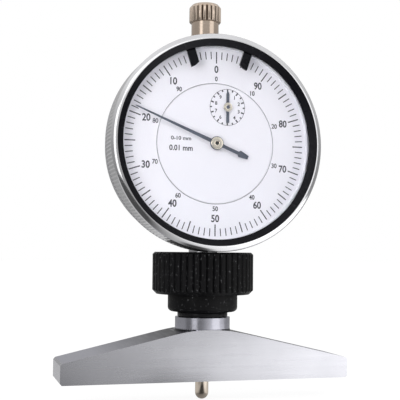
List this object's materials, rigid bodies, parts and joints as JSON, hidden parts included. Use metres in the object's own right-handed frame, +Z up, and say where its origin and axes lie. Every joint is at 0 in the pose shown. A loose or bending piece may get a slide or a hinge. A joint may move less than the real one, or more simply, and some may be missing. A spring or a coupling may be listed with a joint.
{
  "type": "dial depth gauge",
  "caption": "Round dial indicator clamped by its stem in a wide flat measuring base, with a sliding spindle, turning bezel and geared hands.",
  "frame": {"origin": "on the spindle axis, in the plane of the base's measuring face", "axes": "+Z up along the spindle, +X along the base to the right as the dial is read, -Y out of the dial towards the reader"},
  "size_m": [0.08, 0.0299, 0.1101],
  "materials": {
    "base_steel": "ground and satin-finished hardened steel, faint lengthwise grain",
    "neck_steel": "turned steel, dull",
    "seal_black": "smooth black rubber with a soft gloss",
    "nut_black": "black finish over straight knurling, semi-matt",
    "sleeve_bronze": "turned bronze, plain",
    "case_chrome": "satin chromed",
    "screw_steel": "polished steel",
    "bush_brass": "turned brass",
    "spindle_steel": "ground stainless steel, bright",
    "contact_steel": "polished hardened steel",
    "cap_nickel": "brass with a warm nickel plate, bright",
    "spring_steel": "drawn spring wire",
    "movement_brass": "brass plate, lightly grained",
    "wheel_brass": "cut brass, polished",
    "arbor_steel": "polished pivot steel",
    "blued_steel": "heat-blued steel",
    "dial_white": "matt white lacquer with printed black scale",
    "hand_dark": "dark blue-gray lacquer",
    "hub_brass": "pale polished brass",
    "bezel_chrome": "chromed, fine knurl on the side and a polished bevel",
    "spacer_gray": "pale gray lacquer",
    "crystal_clear": "clear and polished",
    "trim_black": "moulded black, soft sheen"
  },
  "bodies": {
    "base": {"base": "base_steel", "clamp_neck": "neck_steel", "seal_ring": "seal_black"},
    "clamp_nut": {"clamp_nut": "nut_black"},
    "split_sleeve": {"split_sleeve": "sleeve_bronze"},
    "indicator": {"stem": "spindle_steel", "stem_bush": "bush_brass", "case_body": "case_chrome", "back_cover": "case_chrome", "cover_screws": "screw_steel", "upper_bush": "bush_brass", "guide_rail": "arbor_steel", "spring_post": "arbor_steel", "return_spring": "spring_steel", "movement_plate": "movement_brass", "pillars": "movement_brass", "plate_screws": "blued_steel", "rear_cock": "movement_brass", "hairspring": "blued_steel", "centre_dial": "dial_white", "bezel_wire": "spring_steel"},
    "spindle": {"spindle": "spindle_steel", "contact_point": "contact_steel", "lifting_cap": "cap_nickel", "guide_pin": "arbor_steel"},
    "rack_wheel": {"rack_arbor": "arbor_steel", "rack_wheel": "wheel_brass"},
    "pointer": {"centre_pinion": "arbor_steel", "pointer_hub": "hub_brass", "main_pointer": "hand_dark"},
    "counter": {"counter_arbor": "arbor_steel", "counter_wheel": "wheel_brass", "counter_hand": "hand_dark"},
    "bezel": {"bezel": "bezel_chrome", "scale_ring": "dial_white", "dial_spacer": "spacer_gray", "crystal": "crystal_clear", "trim_ring": "trim_black"},
    "mark_left": {"mark_left": "trim_black"},
    "mark_right": {"mark_right": "trim_black"}
  },
  "joints": [
    {"name": "clamp_nut_turn", "type": "hinge", "parent": "base", "child": "clamp_nut", "pos_m": [0, 0, 0.023], "axis": [0, 0, 1], "range_deg": [0, 270]},
    {"name": "indicator_swivel", "type": "hinge", "parent": "base", "child": "split_sleeve", "pos_m": [0, 0, 0.023], "axis": [0, 0, 1], "continuous": true},
    {"name": "indicator_height", "type": "slide", "parent": "split_sleeve", "child": "indicator", "axis": [0, 0, 1], "range_m": [0, 0.008]},
    {"name": "spindle_slide", "type": "slide", "parent": "indicator", "child": "spindle", "axis": [0, 0, 1], "range_m": [0, 0.01], "stiffness_N_per_m": 50, "springref_m": -0.012, "deforming": ["return_spring"]},
    {"name": "rack_wheel_spin", "type": "hinge", "parent": "indicator", "child": "rack_wheel", "pos_m": [-0.0032, 0, 0.05368], "axis": [0, 1, 0], "range_deg": [-362, 2]},
    {"name": "pointer_spin", "type": "hinge", "parent": "indicator", "child": "pointer", "pos_m": [0, -0.0112, 0.06363], "axis": [0, 1, 0], "range_deg": [-5, 3605]},
    {"name": "counter_spin", "type": "hinge", "parent": "indicator", "child": "counter", "pos_m": [0.0032, 0, 0.07358], "axis": [0, 1, 0], "range_deg": [-362, 2]},
    {"name": "bezel_turn", "type": "hinge", "parent": "indicator", "child": "bezel", "pos_m": [0, -0.0112, 0.06363], "axis": [0, 1, 0], "continuous": true},
    {"name": "mark_left_turn", "type": "hinge", "parent": "bezel", "child": "mark_left", "pos_m": [0, -0.0112, 0.06363], "axis": [0, 1, 0], "range_deg": [-150, 12]},
    {"name": "mark_right_turn", "type": "hinge", "parent": "bezel", "child": "mark_right", "pos_m": [0, -0.0112, 0.06363], "axis": [0, 1, 0], "range_deg": [-12, 150]}
  ],
  "couplings": [
    {"joint": "rack_wheel_spin", "follows": "spindle_slide", "rad_per_m": -628.32},
    {"joint": "pointer_spin", "follows": "spindle_slide", "rad_per_m": 6283.2},
    {"joint": "counter_spin", "follows": "spindle_slide", "rad_per_m": -628.32}
  ]
}
